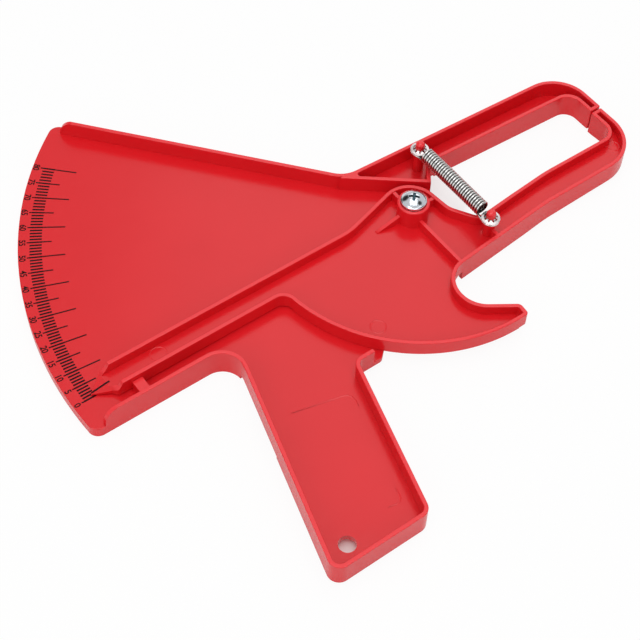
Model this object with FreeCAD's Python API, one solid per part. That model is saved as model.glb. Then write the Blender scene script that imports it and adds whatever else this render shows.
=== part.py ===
import FreeCAD, Part
import math
import os

from FreeCAD import Vector

# Skinfold caliper: two plastic mouldings that turn on each other, a screw, a spring and two push-on washers.
# All sizes are millimetres. The origin is the pivot axis at table height, +Z up.
# -X points along the pointer to the zero of the scale, +X to the jaws, -Y to the handle.

# Heights
table_z = 0.0
skirt_depth = 5.0           # from the face of the scale plate down to the table
floor_thickness = 2.6
floor_top = table_z + skirt_depth
floor_bottom = floor_top - floor_thickness
rim_height = 7.6            # frame rims above the plate
rim_top = floor_top + rim_height
fixed_jaw_depth = 11.3      # full height of the fixed jaw's walls
glide_height = 0.4          # ring on the plate that the lever's hub runs on
lever_gap = 0.5             # from the plate to the lever's floor
lever_floor = 1.9
lever_bottom = floor_top + lever_gap
lever_floor_top = lever_bottom + lever_floor
lever_wall_height = 4.7
lever_rim_top = lever_floor_top + lever_wall_height
moving_jaw_depth = 11.8     # full height of the moving jaw's walls

# Walls and edges
wall = 1.75
rib_wall = 1.5
edge_round = 0.35
running_gap = 0.05          # radial, between post and boss

# Scale plate, seen from above; angles are from +X, counterclockwise
fan_radius = 166.7
fan_corner = 4.5
top_rim_angle = 130.4       # direction of the upper rim, outwards
top_rim_offset = 11.0       # from the pivot axis to the rim's outer face
lip_width = 2.5             # of plate outside the upper rim
lower_rim_offset = 14.5
rim_end_inset = 5.2         # from the plate's arc to where both rims come down to it
rim_end_reach = 5.8         # length over which their ends rise from it
rim_end_bulge = 0.7
rim_to_jaw_round = 12.0
rim_to_handle_round = 9.1
inner_edge_angle = -137.4   # of the plate's hidden edge under the lever
hub_radius = 17.0
glide_ring_radius = 8.5
root_boss_radius = 7.5
under_rib_angles = (150.0, 172.0)
under_rib_clear = 0.6       # from the table to the ribs under the plate
skirt_start = 30.0          # of the skirt under the upper rim, along it
stop_inset = 25.8           # of the zero stop's middle, from the plate's arc
stop_length = 4.5
stop_height = 4.6
stop_gap = 0.1              # to the pointer arm at zero

# Handle
handle_lean = 15.0          # of its sides, from -Y towards -X
handle_end = -118.9
handle_left_foot = -105.1   # x of the left side at handle_left_y
handle_left_y = -27.6
handle_right_foot = -68.3   # x of the right side at handle_right_y
handle_right_y = -56.3
handle_end_round = 4.8
handle_skirt_start = -62.0  # y where the handle's lower skirt begins
handle_skirt_depth = 1.3
notch_y = -50.0
notch_round = 3.2
notch_inner_round = 2.5
notch_wall_end = -58.5
hang_hole_radius = 3.5
hang_hole_from_end = 10.1
hang_hole_from_left = 13.9

# Fixed jaw
jaw_slope = -0.045
fixed_outer_y = 30.8        # of the outer face at x = 0
fixed_throat_y = 17.55      # of the throat face at x = 0
fixed_jaw_inner = 101.2
jaw_tip_width = 5.8         # along X, of the fixed jaw
fixed_tip_y = -0.7
fixed_outer_round = 17.0
fixed_throat_round = 6.2
tip_round = 0.6
throat_start = (22.8, 2.0)  # (x, radius)
frame_edge_foot = (2.5, 5.7)   # (from the hub's edge along X, y)
fixed_deep_start = 25.8     # x where the fixed jaw's walls reach their full depth
rib_angle = -38.5           # of the rib that closes the fixed jaw's tray
rib_offset = 15.1           # from the pivot axis to the rib's near face
rib_joins_rim = 21.0        # along the upper rim from the foot of the pivot's perpendicular
pocket_round = 1.2

# Lever
tip_inset = 8.3             # of the pointer's tip, from the plate's arc
tip_y = 0.8
tip_point_round = 0.3
tongue_length = 7.5
tongue_drop = 1.4           # of its tip, below the floor's top
arm_far_y = 6.75
arm_near_y = -5.6
arm_end_near_y = -3.4
arm_end_round = 1.0
arm_corner = (1.6, 1.5)     # (distance from the arm's end, radius) of the corner on its near side
arm_end_reach = 3.9         # length over which the arm's walls fall to its floor
arm_end_bulge = 0.42
arm_bend = (-29.3, 6.35, 30.0)   # corners are (x, y, radius)
hub_rim_corner = (11.0, 17.6, 12.9)
hub_side_corner = (13.6, -8.1, 10.0)
throat_corner = (20.7, -19.4, 4.5)
throat_knee = (38.0, -17.75, 30.0)
throat_flat = (60.0, -15.95, 80.0)
moving_inner_step = 0.1     # of its throat's end, towards the pivot from the fixed jaw's
moving_inner_corner = (-16.2, 6.2)   # (y, radius)
moving_tip_y = -1.3
moving_end_step = 0.2       # of its end, towards the pivot from the fixed jaw's
moving_outer_y = -30.2
moving_outer_round = 20.0
jaw_taper_x = 40.0          # from here the moving jaw's outer wall gets shallower
jaw_taper = 2.9             # by this much at its far corner
outer_knee = (50.0, 80.0)   # (x, radius)
finger_corner = (-35.05, -37.9, 12.5)
hook_corner = (4.6, -64.75, 2.4)
hook_lean = 1.5             # of the hook's end, towards the pointer
hook_end_round = 1.5
trigger_radius = 70.5
trigger_round = 5.0
skirt_start_x = -0.3        # the moving jaw's deep outer wall starts here
deep_throat_x = 20.5        # and its deep throat wall here
deep_bend = (-12.0, -28.0)  # y between which that border runs from one to the other
pad_gap = 0.12              # from the plate to the glide pad under the trigger's edge
pad_end_angle = 23.0        # of the pad's end, from -Y towards -X
rib_x = -1.1                # of the rib that runs towards the trigger
upper_rib_x = -0.7          # of the short rib on the other side of the boss
rib_drop = 0.4              # of the ribs below the lever's rim
cross_rib_end = -33.5
hub_rib_reach = (11.7, 12.7)    # of the two short ribs, along +X and +Y
gusset_end = (-18.2, 1.3)

# Pivot
post_radius = 4.0
boss_radius = 6.95
boss_round = 0.7
boss_top = 16.7
shoulder_z = 16.2           # floor of the boss's counterbore
head_play = 0.2
head_clearance = 0.2
head_radius = 5.55
head_edge = 1.4
head_crown = 2.5
screw_radius = 1.95
screw_length = 12.5
cross_width = 1.0
cross_length = 4.6
cross_depth = 2.1
cross_turn = 46.0

# Spring and its pegs
frame_peg = (20.5, 21.7)
lever_peg = (20.6, -25.9)
peg_radius = 2.05
peg_crown_round = 1.6
peg_foot_radius = 2.4
peg_collar = (3.2, 0.8)     # (radius, height) of the cone under the hook
peg_rib_top = 11.9
peg_rib_shift = 3.0         # along +X, of the frame peg's rib where it meets the wall
hook_play = 0.1             # above and below the hook on its peg
wire = 1.2
coil_outer = 3.5
coil_turns = 28
coil_clear = (3.35, 5.35)   # from the axes of the frame's peg and of the lever's peg to the coil
coil_aside = 0.35           # of the coil's axis from the line between the pegs, towards the jaws
loop_inner = 2.85
loop_turn = 320.0
hook_overlap = 0.02         # of the hook's wire past the end of the coil
loop_z = 16.4
coil_z = 17.2
washer_radius = 4.05
washer_thickness = 0.5
washer_teeth = 9
tooth_gap = 0.8
tooth_depth = 0.9
peg_stand_out = 3.85        # of the peg above its washer

# Division of the mouldings into parts, and blocks that are cut away
handle_split_y = -23.0
jaw_split_reach = 19.0      # of the fixed jaw's part, back along its rib
split_gap = (1.3, 0.8)      # from the boss to the cuts that divide the lever, along +X and -Y
hook_part_reach = 15.0      # of the trigger's part, above the hook's corner
blank_height = 10.0         # of the blocks that plans are cut from
whole_reach = 400.0         # more than the whole tool


def polar(radius, angle):
    turn = math.radians(angle)
    return Vector(radius * math.cos(turn), radius * math.sin(turn), 0)


def rounded_face(corners):
    """Flat face at z = 0 inside a polygon whose corners (x, y, radius) are rounded."""
    count = len(corners)
    points = [Vector(x, y, 0) for x, y, radius in corners]
    starts = []
    ends = []
    middles = []
    for i in range(count):
        here = points[i]
        back = (points[i - 1] - here).normalize()
        ahead = (points[(i + 1) % count] - here).normalize()
        half = back.getAngle(ahead) / 2
        radius = corners[i][2]
        reach = radius / math.tan(half)
        bisector = (back + ahead).normalize()
        starts.append(here + back * reach)
        ends.append(here + ahead * reach)
        middles.append(here + bisector * (radius / math.sin(half) - radius))
    edges = []
    for i in range(count):
        following = (i + 1) % count
        if corners[i][2] > 0:
            edges.append(Part.Arc(starts[i], middles[i], ends[i]).toShape())
        edges.append(Part.LineSegment(ends[i], starts[following]).toShape())
    return Part.Face(Part.Wire(edges))


def prism(face, low, high):
    """Solid of a flat face at z = 0, from low to high."""
    solid = face.copy()
    solid.translate(Vector(0, 0, low))
    return solid.extrude(Vector(0, 0, high - low))


def disc(radius, low, high, centre=(0, 0)):
    return Part.makeCylinder(radius, high - low, Vector(centre[0], centre[1], low))


def block(x, y, z):
    """Box between two values on each axis."""
    return Part.makeBox(x[1] - x[0], y[1] - y[0], z[1] - z[0], Vector(x[0], y[0], z[0]))


def bottom_face(solid):
    """The solid's underside, moved to z = 0."""
    low = solid.BoundBox.ZMin
    for face in solid.Faces:
        if abs(face.BoundBox.ZMax - low) < 1e-6:
            flat = face.copy()
            flat.translate(Vector(0, 0, -low))
            return flat


def round_upright(solid, spots):
    """Round the upright edges nearest to the spots (x, y, radius)."""
    for x, y, radius in spots:
        upright = [e for e in solid.Edges if e.BoundBox.ZLength > 0.5
                   and e.BoundBox.XLength < 1e-6 and e.BoundBox.YLength < 1e-6]
        nearest = min(upright, key=lambda e: math.hypot(e.BoundBox.XMin - x, e.BoundBox.YMin - y))
        solid = solid.makeFillet(radius, [nearest])
    return solid


def round_top(solid, high, from_x=-whole_reach):
    """Round the edges at the top of a wall, all of them or those that lie beyond from_x."""
    top = [e for e in solid.Edges if e.BoundBox.ZMin > high - 1e-6 and e.BoundBox.XMax > from_x]
    return solid.makeFillet(edge_round, top)


def rim(face, low, high):
    """Wall that follows a face's outline inwards."""
    return prism(face, low, high).cut(prism(face.makeOffset2D(-wall), low, high))


def strip(start, end, thickness, low, high):
    """Upright rib between two points."""
    along = (end - start).normalize()
    side = Vector(-along.y, along.x, 0) * (thickness / 2)
    corners = [start + side, start - side, end - side, end + side]
    wire_loop = Part.makePolygon(corners + corners[:1])
    return prism(Part.Face(wire_loop), low, high)


def half_plane(angle, offset, size=whole_reach):
    """Large upright block of all points further than offset along the direction angle."""
    normal = polar(1, angle)
    side = Vector(-normal.y, normal.x, 0)
    near = normal * offset
    corners = [near + side * size, near - side * size,
               near + normal * size - side * size, near + normal * size + side * size]
    return prism(Part.Face(Part.makePolygon(corners + corners[:1])), -size, size)


def union(parts):
    return parts[0].multiFuse(parts[1:]).removeSplitter()


def zone(corners):
    """Tall upright block over a polygon."""
    points = [Vector(x, y, 0) for x, y in corners]
    return prism(Part.Face(Part.makePolygon(points + points[:1])), -blank_height, 4 * blank_height)


# Frame moulding

top_normal_angle = top_rim_angle - 90
rib_normal_angle = rib_angle + 90
lean_slope = math.tan(math.radians(handle_lean))
handle_bottom_left = handle_left_foot + (handle_end - handle_left_y) * lean_slope
handle_bottom_right = handle_right_foot + (handle_end - handle_right_y) * lean_slope
handle_top_left = handle_left_foot + (-lower_rim_offset - handle_left_y) * lean_slope
handle_top_right = handle_right_foot + (notch_y - handle_right_y) * lean_slope
rim_end_radius = fan_radius - rim_end_inset
beyond = fan_radius * 1.5   # well outside the plate
fixed_jaw_end = fixed_jaw_inner + jaw_tip_width
edge_foot = Vector(hub_radius - frame_edge_foot[0], frame_edge_foot[1], 0)


def throat_line(x):
    return fixed_throat_y + jaw_slope * x


def outer_line(x):
    return fixed_outer_y + jaw_slope * x


def frame_outline(rim_offset):
    """Plan of the frame, with its upper edge at a distance from the pivot axis."""
    normal = polar(1, top_normal_angle)
    meet_x = (rim_offset - normal.y * fixed_outer_y) / (normal.x + normal.y * jaw_slope)
    far = polar(rim_offset, top_normal_angle) + polar(beyond, top_rim_angle)
    notch = notch_y / math.tan(math.radians(inner_edge_angle))
    polygon = rounded_face([
        (far.x, far.y, 0),
        (meet_x, outer_line(meet_x), rim_to_jaw_round),
        (fixed_jaw_end, outer_line(fixed_jaw_end), fixed_outer_round),
        (fixed_jaw_end, fixed_tip_y, tip_round),
        (fixed_jaw_inner, fixed_tip_y, tip_round),
        (fixed_jaw_inner, throat_line(fixed_jaw_inner), fixed_throat_round),
        (throat_start[0], throat_line(throat_start[0]), throat_start[1]),
        (edge_foot.x, edge_foot.y, 0),
        (0, 0, 0),
        (notch, notch_y, notch_inner_round),
        (handle_top_right, notch_y, notch_round),
        (handle_bottom_right, handle_end, handle_end_round),
        (handle_bottom_left, handle_end, handle_end_round),
        (handle_top_left, -lower_rim_offset, rim_to_handle_round),
        (-beyond, -lower_rim_offset, 0)])
    handle_side = block((-beyond, 0), (-beyond, -lower_rim_offset - 1), (-1, blank_height + 1))
    blank = prism(polygon, 0, blank_height).common(disc(fan_radius, 0, blank_height).fuse(handle_side))
    return blank.fuse(disc(hub_radius, 0, blank_height)).removeSplitter()


def fan_corner_spots(rim_offset):
    """Where the upper and lower edges of the plate meet its arc."""
    upper = math.degrees(math.asin(rim_offset / fan_radius))
    lower = math.degrees(math.asin(lower_rim_offset / fan_radius))
    top = polar(fan_radius, top_rim_angle - upper)
    foot = polar(fan_radius, 180 + lower)
    return [(top.x, top.y, fan_corner), (foot.x, foot.y, fan_corner)]


def jaw_tray_walls():
    """Walls round the fixed jaw's tray, closed towards the pivot by the rib."""
    near = polar(1, rib_normal_angle)
    left_x = (rib_offset - near.y * fixed_outer_y) / (near.x + near.y * jaw_slope)
    edge = Vector(throat_start[0], throat_line(throat_start[0]), 0) - edge_foot
    up = (rib_offset - near.dot(edge_foot)) / near.dot(edge)
    rib_end = edge_foot + edge * up
    tray = rounded_face([
        (left_x, outer_line(left_x), 0),
        (fixed_jaw_end, outer_line(fixed_jaw_end), fixed_outer_round),
        (fixed_jaw_end, fixed_tip_y, tip_round),
        (fixed_jaw_inner, fixed_tip_y, tip_round),
        (fixed_jaw_inner, throat_line(fixed_jaw_inner), fixed_throat_round),
        (throat_start[0], throat_line(throat_start[0]), throat_start[1]),
        (rib_end.x, rib_end.y, 0)])
    hollow = prism(tray.makeOffset2D(-wall), floor_top - 1, rim_top)
    west = min(hollow.Vertexes, key=lambda v: v.X)
    hollow = round_upright(hollow, [(west.X, west.Y, pocket_round)])
    return round_top(prism(tray, floor_top - 1, rim_top).cut(hollow), rim_top)


def slope_down(solid, at, direction, height_low, height_high, reach, bulge):
    """Slope a wall's end down: at is the point where the wall meets the floor."""
    rise = height_high - height_low
    half_width = 2 * blank_height
    along = polar(1, direction)
    foot = Vector(at.x, at.y, height_low)
    top = Vector(at.x, at.y, height_high + 1)
    bend = foot - along * (reach * (1 - bulge)) + Vector(0, 0, rise * bulge)
    end = foot - along * reach + Vector(0, 0, rise)
    edge = [Part.Arc(foot, bend, end).toShape(),
            Part.LineSegment(end, end + Vector(0, 0, 1)).toShape(),
            Part.LineSegment(end + Vector(0, 0, 1), top + along * half_width).toShape(),
            Part.LineSegment(top + along * half_width, foot + along * half_width).toShape(),
            Part.LineSegment(foot + along * half_width, foot).toShape()]
    side = Vector(-along.y, along.x, 0)
    face = Part.Face(Part.Wire(edge))
    face.translate(side * -half_width)
    return solid.cut(face.extrude(side * 2 * half_width))


def scale_rims():
    """All walls that stand on the frame's floor."""
    outline = bottom_face(frame_outline(top_rim_offset))
    walls = round_top(rim(outline, floor_top - 1, rim_top), rim_top)
    kept = disc(rim_end_radius, 0, 2 * rim_top)
    kept = kept.fuse(block((-beyond, 0), (-beyond, -lower_rim_offset - 1), (0, 2 * rim_top)))
    walls = walls.common(kept)
    under_lever = block((notch_wall_end, beyond), (-beyond, beyond), (floor_top - 2, rim_top + 2))
    upper_rim = half_plane(top_normal_angle, 0).common(half_plane(top_rim_angle, rib_joins_rim))
    walls = walls.cut(under_lever.cut(half_plane(rib_normal_angle, rib_offset)).cut(upper_rim))
    top_reach = math.sqrt(rim_end_radius ** 2 - top_rim_offset ** 2)
    low_reach = math.sqrt(rim_end_radius ** 2 - lower_rim_offset ** 2)
    top_end = polar(top_rim_offset, top_normal_angle) + polar(top_reach, top_rim_angle)
    walls = slope_down(walls, top_end, top_rim_angle, floor_top, rim_top, rim_end_reach, rim_end_bulge)
    low_end = Vector(-low_reach, -lower_rim_offset, 0)
    walls = slope_down(walls, low_end, 180, floor_top, rim_top, rim_end_reach, rim_end_bulge)
    return walls


def frame_moulding():
    plate_offset = top_rim_offset + lip_width
    plan = round_upright(frame_outline(plate_offset), fan_corner_spots(plate_offset))
    plate_face = bottom_face(plan)
    plate = prism(plate_face, floor_bottom, floor_top)
    rimless = [e for e in plate.Edges if e.BoundBox.ZMin > floor_top - 1e-6
               and e.BoundBox.XMax < handle_top_right and hasattr(e.Curve, "Radius")
               and e.Curve.Radius > fan_radius - 1]
    plate = plate.makeFillet(edge_round, rimless)

    skirt = prism(plate_face, table_z, floor_bottom + 1)
    skirt = skirt.cut(prism(plate_face.makeOffset2D(-wall), table_z, floor_bottom + 1))
    upper_zone = half_plane(top_rim_angle, skirt_start).common(half_plane(top_normal_angle, 0))
    lower_zone = block((-beyond, handle_left_foot + wall), (handle_split_y, beyond), (-1, rim_top))
    skirt = skirt.common(upper_zone.fuse(lower_zone))

    handle_skirt = prism(plate_face, floor_bottom - handle_skirt_depth, floor_bottom + 1)
    handle_skirt = handle_skirt.cut(prism(plate_face.makeOffset2D(-wall), table_z, floor_bottom + 1))
    handle_skirt = handle_skirt.common(block((-beyond, 0), (-beyond, handle_skirt_start), (-1, rim_top)))

    jaw_walls = prism(plate_face, rim_top - fixed_jaw_depth, floor_bottom + 1)
    hollow = prism(plate_face.makeOffset2D(-wall), table_z, floor_bottom + 1)
    jaw_walls = jaw_walls.cut(hollow).common(half_plane(0, fixed_deep_start))

    parts = [plate, skirt, handle_skirt, jaw_walls, scale_rims()]
    parts.append(jaw_tray_walls())
    for angle in under_rib_angles:
        start = polar(root_boss_radius - 1, angle)
        end = polar(fan_radius - wall, angle)
        parts.append(strip(start, end, rib_wall, table_z + under_rib_clear, floor_bottom + 1))
    parts.append(disc(root_boss_radius, table_z, floor_bottom + 1))
    parts.append(disc(glide_ring_radius, floor_top - 1, floor_top + glide_height))
    parts.append(disc(post_radius, floor_top - 1, shoulder_z + head_play))
    arm_side = arm_near_y - stop_gap
    stop_x = stop_inset - fan_radius
    parts.append(block((stop_x - stop_length / 2, stop_x + stop_length / 2),
                       (-lower_rim_offset + wall / 2, arm_side), (floor_top - 1, floor_top + stop_height)))
    wall_spot = Vector(frame_peg[0] + peg_rib_shift, outer_line(frame_peg[0]) - wall / 2, 0)
    parts.extend(spring_peg(frame_peg, floor_top, wall_spot))
    frame = union(parts)

    hole = Vector(handle_bottom_left + hang_hole_from_left, handle_end + hang_hole_from_end, 0)
    frame = frame.cut(disc(hang_hole_radius, 0, 30, (hole.x, hole.y)))
    pilot = disc(screw_radius + running_gap, shoulder_z - screw_length - 1, shoulder_z + 5)
    return frame.cut(pilot)


def spring_peg(spot, low, wall_spot):
    """Foot, collar, shank and domed top of a spring peg, and the rib that ties its foot to a wall."""
    shoulder = loop_z - wire / 2 - hook_play
    top = loop_z + wire / 2 + hook_play + washer_thickness + peg_stand_out
    foot = disc(peg_foot_radius, low - 1, shoulder, spot)
    collar_base = Vector(spot[0], spot[1], shoulder - peg_collar[1])
    collar = Part.makeCone(peg_foot_radius, peg_collar[0], peg_collar[1], collar_base)
    shank = disc(peg_radius, low, top, spot)
    crown = [e for e in shank.Edges if e.BoundBox.ZMin > top - 1e-6]
    shank = shank.makeFillet(peg_crown_round, crown)
    rib = strip(Vector(spot[0], spot[1], 0), wall_spot, rib_wall, low - 1, peg_rib_top)
    return [foot, collar, shank, rib]


# Lever moulding

arm_tip_x = tip_inset - fan_radius
arm_end_x = arm_tip_x + tongue_length
moving_jaw_inner = fixed_jaw_inner - moving_inner_step
moving_jaw_end = fixed_jaw_end - moving_end_step


def lever_plan():
    """Blank of the lever's outline; the trigger is trimmed to its arc about the pivot."""
    far = trigger_radius + 15
    blank = prism(rounded_face([
        (arm_tip_x, tip_y, tip_point_round),
        (arm_end_x, arm_far_y, arm_end_round),
        arm_bend,
        hub_rim_corner,
        hub_side_corner,
        throat_corner,
        throat_knee,
        throat_flat,
        (moving_jaw_inner, moving_inner_corner[0], moving_inner_corner[1]),
        (moving_jaw_inner, moving_tip_y, tip_round),
        (moving_jaw_end, moving_tip_y, tip_round),
        (moving_jaw_end, moving_outer_y, moving_outer_round),
        (outer_knee[0], moving_outer_y, outer_knee[1]),
        finger_corner,
        hook_corner,
        (hook_corner[0] - hook_lean, -far, 0),
        (-far, -far, 0),
        (-far, arm_near_y, 0),
        (arm_end_x + arm_corner[0], arm_near_y, arm_corner[1]),
        (arm_end_x, arm_end_near_y, arm_end_round)]), 0, blank_height)
    below_arm = block((-beyond, boss_radius), (-beyond, arm_near_y), (-1, blank_height + 1))
    blank = blank.cut(below_arm.cut(disc(trigger_radius, -1, blank_height + 1)))
    arc_meets_arm = -math.sqrt(trigger_radius ** 2 - arm_near_y ** 2)
    arc_meets_hook = -math.sqrt(trigger_radius ** 2 - hook_corner[0] ** 2)
    return round_upright(blank, [(arc_meets_arm, arm_near_y, trigger_round),
                                 (hook_corner[0], arc_meets_hook, hook_end_round)])


def outer_wall_line(x):
    """y of the lever's straight outer wall between the finger hollow and the jaw."""
    slope = (moving_outer_y - finger_corner[1]) / (outer_knee[0] - finger_corner[0])
    return moving_outer_y + slope * (x - outer_knee[0])


def lever_ribs():
    """Ribs round the boss."""
    low = lever_bottom + lever_floor / 2
    high = lever_rim_top - rib_drop
    ribs = [strip(Vector(upper_rib_x, 0, 0), Vector(upper_rib_x, hub_rib_reach[1], 0), rib_wall, low, high),
            strip(Vector(0, 0, 0), Vector(hub_rib_reach[0], 0, 0), rib_wall, low, high),
            strip(Vector(rib_x, 0, 0), Vector(rib_x, cross_rib_end, 0), rib_wall, low, high)]
    gusset = strip(Vector(0, 0, 0), Vector(gusset_end[0], gusset_end[1], 0), rib_wall, low, high)
    slope = [Vector(gusset_end[0] - 1, 0, lever_floor_top), Vector(-boss_radius, 0, high),
             Vector(-boss_radius, 0, boss_top), Vector(gusset_end[0] - 1, 0, boss_top)]
    above = Part.Face(Part.makePolygon(slope + slope[:1]))
    above.translate(Vector(0, -blank_height, 0))
    ribs.append(gusset.cut(above.extrude(Vector(0, 2 * blank_height, 0))))
    return ribs


def below_moving_jaw(jaw_bottom):
    """Space under the moving jaw's outer wall, which gets shallower towards the tip."""
    level = [Vector(jaw_taper_x, moving_outer_y, jaw_bottom), Vector(moving_jaw_end, moving_tip_y, jaw_bottom),
             Vector(moving_jaw_end, moving_outer_y, jaw_bottom + jaw_taper)]
    along = (level[2] - level[0]) * 5
    across = (level[1] - level[2]) * 5
    centre = level[2]
    corners = [centre - along - across, centre + along - across, centre + along + across, centre - along + across]
    sheet = Part.Face(Part.makePolygon(corners + corners[:1]))
    return sheet.extrude(Vector(0, 0, -60))


def lever_moulding():
    face = bottom_face(lever_plan().removeSplitter())
    inner = face.makeOffset2D(-wall)
    floor = prism(face, lever_bottom, lever_floor_top)
    walls = rim(face, lever_floor_top - 0.5, lever_rim_top).cut(half_plane(180, -arm_end_x))
    walls = round_top(walls, lever_rim_top, arm_end_x + edge_round)
    jaw_bottom = lever_rim_top - moving_jaw_depth
    deep = prism(face, jaw_bottom, lever_bottom + 0.5).cut(prism(inner, jaw_bottom - 1, lever_bottom + 1))
    wide = moving_jaw_end + wall
    deep_low_y = moving_outer_y - moving_outer_round
    deep_zone = zone([(deep_throat_x, wide), (deep_throat_x, deep_bend[0]), (skirt_start_x, deep_bend[1]),
                      (skirt_start_x, deep_low_y), (wide, deep_low_y), (wide, wide)])
    deep = deep.common(deep_zone).cut(below_moving_jaw(jaw_bottom))
    pad = prism(face, floor_top + pad_gap, lever_bottom + 0.5)
    pad = pad.cut(prism(inner, floor_top, lever_bottom + 1)).common(half_plane(-90 - pad_end_angle, 0))
    pad = pad.common(block((-beyond, 0), (-beyond, arm_near_y - trigger_round), (0, lever_rim_top)))
    boss = disc(boss_radius, lever_bottom, boss_top)
    boss = boss.makeFillet(boss_round, [e for e in boss.Edges if e.BoundBox.ZMin > boss_top - 1e-6])
    parts = [floor, walls, deep, pad, boss]
    parts.extend(lever_ribs())
    wall_spot = Vector(lever_peg[0], outer_wall_line(lever_peg[0]) + wall / 2, 0)
    parts.extend(spring_peg(lever_peg, lever_floor_top, wall_spot))
    lever = union(parts)
    arm_end = Vector(arm_end_x - 0.1, 0, 0)
    lever = slope_down(lever, arm_end, 180, lever_floor_top, lever_rim_top, arm_end_reach, arm_end_bulge)
    side = -blank_height
    tip = [Vector(arm_end_x, side, lever_floor_top), Vector(arm_tip_x, side, lever_floor_top - tongue_drop),
           Vector(arm_tip_x, side, rim_top), Vector(arm_end_x, side, rim_top)]
    wedge = Part.Face(Part.makePolygon(tip + tip[:1])).extrude(Vector(0, -2 * side, 0))
    lever = lever.cut(wedge)
    lever = lever.cut(disc(post_radius + running_gap, 0, boss_top + 1))
    return lever.cut(disc(head_radius + head_clearance, shoulder_z, boss_top + 1))


# Pivot screw

def pivot_screw():
    seat = shoulder_z + head_play
    edge_top = seat + head_edge
    sphere_radius = (head_radius ** 2 + head_crown ** 2) / (2 * head_crown)
    head = disc(head_radius, seat, edge_top + head_crown + 1)
    ball = Part.makeSphere(sphere_radius, Vector(0, 0, edge_top + head_crown - sphere_radius))
    head = head.common(ball)
    head = head.fuse(disc(screw_radius, seat - screw_length, seat + 0.1)).removeSplitter()
    half = cross_length / 2
    slot = (edge_top + head_crown - cross_depth, edge_top + head_crown + 1)
    for angle in (cross_turn, cross_turn + 90):
        head = head.cut(strip(polar(half, angle), polar(-half, angle), cross_width, slot[0], slot[1]))
    return head


# Spring, drawn along +X from the frame's peg and then laid between the pegs

peg_line = Vector(lever_peg[0] - frame_peg[0], lever_peg[1] - frame_peg[1], 0)
coil_length = peg_line.Length - coil_clear[0] - coil_clear[1]


def between_pegs(shape):
    placed = shape.copy()
    angle = math.degrees(math.atan2(peg_line.y, peg_line.x))
    placed.rotate(Vector(0, 0, 0), Vector(0, 0, 1), angle)
    placed.translate(Vector(frame_peg[0], frame_peg[1], 0))
    return placed


mean_radius = coil_outer - wire / 2
end_drop = loop_z - coil_z
end_side = -math.sqrt(mean_radius ** 2 - end_drop ** 2)


def spring_coil():
    pitch = (coil_length - wire) / coil_turns
    path = Part.makeLongHelix(pitch, pitch * coil_turns, mean_radius)
    start = Vector(mean_radius, 0, 0)
    tangent = Vector(0, 2 * math.pi * mean_radius, pitch)
    section = Part.Wire(Part.makeCircle(wire / 2, start, tangent))
    coil = Part.Wire(path.Edges).makePipeShell([section], True, True)
    coil.rotate(Vector(0, 0, 0), Vector(0, 1, 0), 90)
    phase = math.degrees(math.atan2(end_drop, end_side)) + 90
    coil.rotate(Vector(0, 0, 0), Vector(1, 0, 0), phase)
    coil.translate(Vector(coil_clear[0] + wire / 2, coil_aside, coil_z))
    return between_pegs(coil)


def spring_hook(peg_x, facing):
    """Loop round a peg and its straight run to the coil; facing is 1 at the frame's peg and -1 at the lever's."""
    ring = loop_inner + wire / 2
    clear = coil_clear[0] if facing > 0 else coil_clear[1]
    start = Vector(clear - hook_overlap, coil_aside + end_side, loop_z)
    reach = math.hypot(start.x, start.y)
    touch_angle = math.degrees(math.atan2(start.y, start.x) - math.acos(ring / reach))
    loop_angles = (touch_angle, touch_angle - loop_turn / 2, touch_angle - loop_turn)
    marks = [polar(ring, angle) + Vector(0, 0, loop_z) for angle in loop_angles]
    path = Part.Wire([Part.LineSegment(start, marks[0]).toShape(), Part.Arc(*marks).toShape()])
    section = Part.Wire(Part.makeCircle(wire / 2, start, marks[0] - start))
    hook = path.makePipeShell([section], True, True)
    if facing < 0:
        hook = hook.mirror(Vector(0, 0, 0), Vector(1, 0, 0))
    hook.translate(Vector(peg_x, 0, 0))
    return between_pegs(hook)


def peg_washer(spot):
    """Push-on washer whose teeth grip the peg."""
    low = loop_z + wire / 2 + hook_play
    high = low + washer_thickness
    washer = disc(washer_radius, low, high, spot).cut(disc(peg_radius, low - 1, high + 1, spot))
    centre = Vector(spot[0], spot[1], 0)
    for i in range(washer_teeth):
        angle = i * 360 / washer_teeth
        start = centre + polar(peg_radius - 0.5, angle)
        end = centre + polar(peg_radius + tooth_depth, angle)
        washer = washer.cut(strip(start, end, tooth_gap, low - 1, high + 1))
    return washer


# Each moulding is stored in parts that meet face to face, so that every part has a simple shape


def frame_parts():
    frame = frame_moulding()
    handle_zone = zone([(handle_left_foot - wall, handle_split_y), (handle_top_right, notch_y + 1),
                        (0, notch_y + 1), (0, -beyond), (-beyond, -beyond), (-beyond, handle_split_y)])
    rib_near = polar(rib_offset, rib_normal_angle)
    rib_far_end = rib_near + polar(fixed_jaw_end, rib_angle)
    rib_left = rib_near - polar(jaw_split_reach, rib_angle)
    blend = polar(hub_radius, top_normal_angle) + polar(jaw_split_reach, top_rim_angle)
    jaw_zone = zone([(rib_left.x, rib_left.y), (rib_far_end.x, rib_far_end.y), (beyond, rib_far_end.y),
                     (beyond, beyond), (blend.x, beyond)])
    body = frame.cut(handle_zone).cut(jaw_zone)
    return {"scale_plate": body, "handle": frame.common(handle_zone), "fixed_jaw": frame.common(jaw_zone)}


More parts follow.
